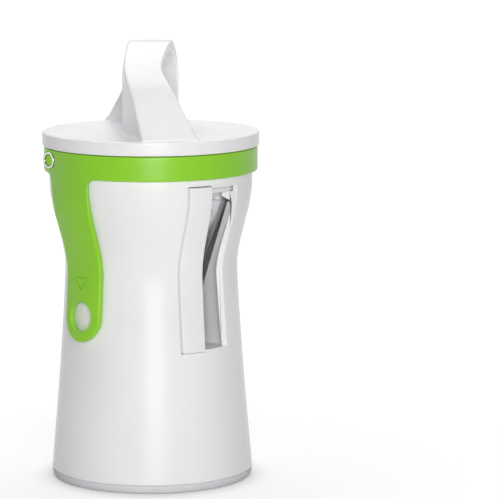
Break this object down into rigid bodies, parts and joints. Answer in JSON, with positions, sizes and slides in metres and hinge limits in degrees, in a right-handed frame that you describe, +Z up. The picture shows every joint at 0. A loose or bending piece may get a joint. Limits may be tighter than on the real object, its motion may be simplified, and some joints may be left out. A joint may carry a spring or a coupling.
{
  "type": "spiralizer",
  "caption": "Hand cranked vegetable spiralizer with an hourglass body, a tall side outlet, a green hopper collar with a hanging tab, and a food holder with an arched handle.",
  "frame": {"origin": "centre of the base pad's flat underside, on the surface it stands on", "axes": "+Z up through the hopper; the outlet window faces -Y; the collar's tab hangs on the -X side"},
  "size_m": [0.0934, 0.0934, 0.1893],
  "materials": {
    "white_shell": "satin moulded ABS",
    "white_inner": "moulded ABS",
    "green_collar": "satin moulded polypropylene",
    "soft_grey": "moulded thermoplastic elastomer",
    "blade_steel": "ground stainless steel",
    "polished_steel": "polished stainless steel",
    "screw_steel": "turned stainless steel"
  },
  "bodies": {
    "housing": {"outer_shell": "white_shell", "base_pad": "soft_grey", "base_cover": "white_inner", "cutting_cone": "white_inner", "outlet_chute": "white_inner", "slicing_blade": "blade_steel", "hopper_seal": "soft_grey", "base_screw_1": "screw_steel", "base_screw_2": "screw_steel", "base_screw_3": "screw_steel", "cone_screw_1": "screw_steel", "cone_screw_2": "screw_steel", "cone_screw_3": "screw_steel", "blade_screw_1": "screw_steel", "blade_screw_2": "screw_steel"},
    "comb_insert": {"insert_face": "white_shell", "julienne_comb": "blade_steel", "comb_rivet_1": "screw_steel", "comb_rivet_2": "screw_steel"},
    "collar": {"collar": "green_collar", "button_bezel": "polished_steel", "button_spring": "blade_steel"},
    "button": {"release_button": "green_collar"},
    "guide": {"guide_ring": "white_shell"},
    "holder": {"holder_cap": "white_shell", "spike_plate": "blade_steel", "plate_screw_1": "screw_steel", "plate_screw_2": "screw_steel", "plate_screw_3": "screw_steel", "spike_1": "blade_steel", "spike_2": "blade_steel", "spike_3": "blade_steel", "spike_4": "blade_steel", "spike_5": "blade_steel", "spike_6": "blade_steel", "spike_7": "blade_steel"}
  },
  "joints": [
    {"name": "collar_twist", "type": "hinge", "parent": "housing", "child": "collar", "pos_m": [0, 0, 0.1332], "axis": [0, 0, -1], "range_deg": [0, 20]},
    {"name": "button_press", "type": "slide", "parent": "collar", "child": "button", "axis": [1, 0, 0], "range_m": [0, 0.0006], "stiffness_N_per_m": 600},
    {"name": "holder_lift", "type": "slide", "parent": "collar", "child": "guide", "axis": [0, 0, 1], "range_m": [0, 0.1]},
    {"name": "holder_crank", "type": "hinge", "parent": "guide", "child": "holder", "pos_m": [0, 0, 0.1424], "axis": [0, 0, 1], "continuous": true},
    {"name": "insert_slide", "type": "slide", "parent": "housing", "child": "comb_insert", "axis": [0, -1, 0], "range_m": [0, 0.032]}
  ]
}
